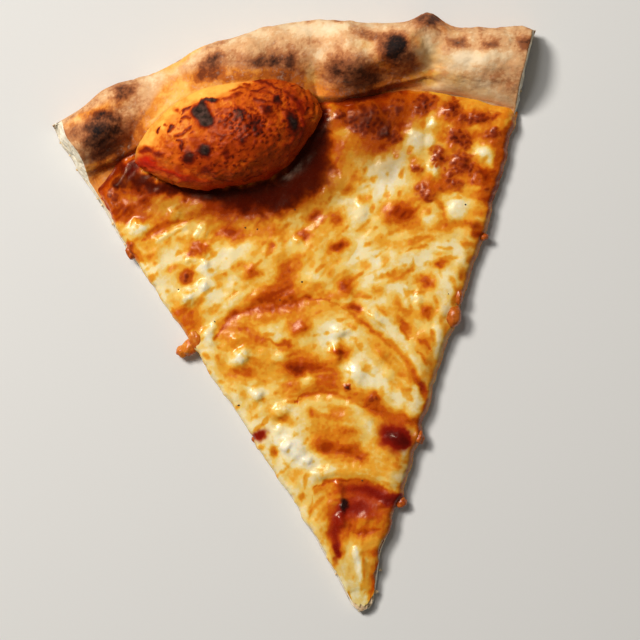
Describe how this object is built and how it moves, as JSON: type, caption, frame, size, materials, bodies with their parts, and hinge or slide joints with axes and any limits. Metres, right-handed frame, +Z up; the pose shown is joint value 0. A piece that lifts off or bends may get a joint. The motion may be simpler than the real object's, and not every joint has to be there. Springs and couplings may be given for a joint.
{
  "type": "cheese pizza slice",
  "caption": "Wedge of thin pizza with a puffed, charred crust rim, a large dough blister, tomato sauce and wrinkled melted cheese.",
  "frame": {"origin": "middle of the underside of the bounding box, on the surface that the slice lies on", "axes": "+Z up out of the cheese; +Y from the slice's point to its crust rim; +X to the right seen from above with the rim away"},
  "size_m": [0.1888, 0.2262, 0.0298],
  "materials": {
    "crust": "baked wheat dough: floury tan, golden and brown patches, char spots, white crumb where it is cut",
    "tomato_sauce": "wet, cooked tomato sauce",
    "melted_cheese": "oily melted cheese, cream to yellow with orange and brown toasted patches"
  },
  "bodies": {
    "root": {"dough": "crust", "sauce": "tomato_sauce", "cheese": "melted_cheese"}
  },
  "joints": []
}
